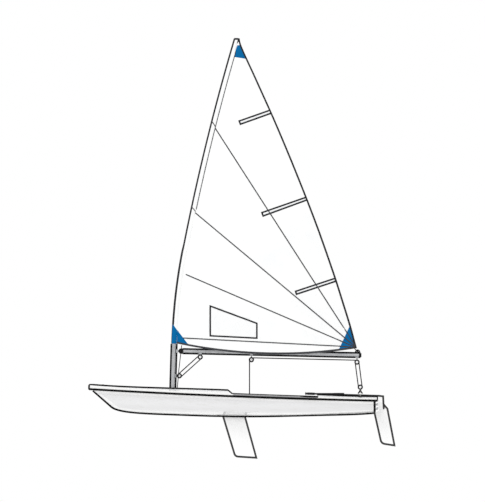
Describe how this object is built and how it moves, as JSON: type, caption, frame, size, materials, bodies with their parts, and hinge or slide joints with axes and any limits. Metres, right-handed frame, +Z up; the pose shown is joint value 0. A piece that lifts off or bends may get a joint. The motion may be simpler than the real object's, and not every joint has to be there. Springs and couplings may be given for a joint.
{
  "type": "single-handed sailing dinghy",
  "caption": "Afloat one-person racing dinghy with sleeved sail on an unstayed mast, boom, daggerboard, kick-up rudder, tiller and extension.",
  "frame": {"origin": "on the centreline in the water's surface, midway along the waterline", "axes": "+X towards the stern, +Y to starboard, +Z up"},
  "size_m": [4.476, 1.39, 6.1524],
  "materials": {
    "hull_shell": "white gelcoat, pale grey side panel",
    "deck_shell": "white gelcoat with moulded non-slip",
    "foils": "white moulded foam core",
    "spars": "anodised tube",
    "black_fittings": "moulded black plastic",
    "steel_fittings": "stainless",
    "rudder_stock": "white coated alloy",
    "tiller_tube": "dark anodised tube",
    "sailcloth": "woven white cloth with blue corner patches",
    "rope": "braided rope",
    "webbing": "padded webbing"
  },
  "bodies": {
    "hull": {"hull": "hull_shell", "deck": "deck_shell", "bow_eye": "black_fittings", "control_line_cleats": "black_fittings", "gudgeon_lower": "steel_fittings", "gudgeon_upper": "steel_fittings", "fairlead_port": "black_fittings", "fairlead_starboard": "black_fittings", "traveller_rope": "rope", "traveller_ring": "steel_fittings", "mainsheet_lower_block": "black_fittings", "ratchet_block": "black_fittings", "hiking_strap": "webbing", "bailer": "black_fittings", "grab_rail_port": "steel_fittings", "grab_rail_starboard": "steel_fittings"},
    "rig": {"mast_lower": "spars", "mast_collar": "black_fittings", "mast_upper": "spars", "boom": "spars", "boom_end_cap": "black_fittings", "boom_front_plug": "black_fittings", "gooseneck": "steel_fittings", "mainsheet_mid_strap": "steel_fittings", "mainsheet_aft_strap": "steel_fittings", "vang_key": "steel_fittings", "mainsheet_mid_block": "black_fittings", "mainsheet_aft_block": "black_fittings", "vang_upper_block": "black_fittings", "vang_band": "steel_fittings", "vang_lower_block": "black_fittings", "outhaul_eye": "steel_fittings", "sail": "sailcloth"},
    "rudder": {"rudder_head": "rudder_stock", "pintle_lower": "steel_fittings", "pintle_upper": "steel_fittings", "tiller": "tiller_tube", "tiller_universal": "black_fittings"},
    "rudder_blade": {"rudder_blade": "foils"},
    "tiller_extension": {"tiller_extension": "tiller_tube"},
    "daggerboard": {"daggerboard": "foils"}
  },
  "joints": [
    {"name": "boom_swing", "type": "hinge", "parent": "hull", "child": "rig", "pos_m": [-1.0548, 0, 0.31], "axis": [0.0298, 0, 0.9996], "range_deg": [-90, 90]},
    {"name": "steering", "type": "hinge", "parent": "hull", "child": "rudder", "pos_m": [1.934, 0, 0.05], "axis": [0, 0, 1], "range_deg": [-35, 35]},
    {"name": "blade_lift", "type": "hinge", "parent": "rudder", "child": "rudder_blade", "pos_m": [2.012, 0, 0.045], "axis": [0, -1, 0], "range_deg": [0, 100]},
    {"name": "board_lift", "type": "slide", "parent": "hull", "child": "daggerboard", "axis": [-0.2677, 0, 0.9635], "range_m": [0, 0.5]},
    {"name": "extension_swing", "type": "hinge", "parent": "rudder", "child": "tiller_extension", "pos_m": [0.892, 0, 0.236], "axis": [0, 0, -1], "range_deg": [0, 150]}
  ]
}
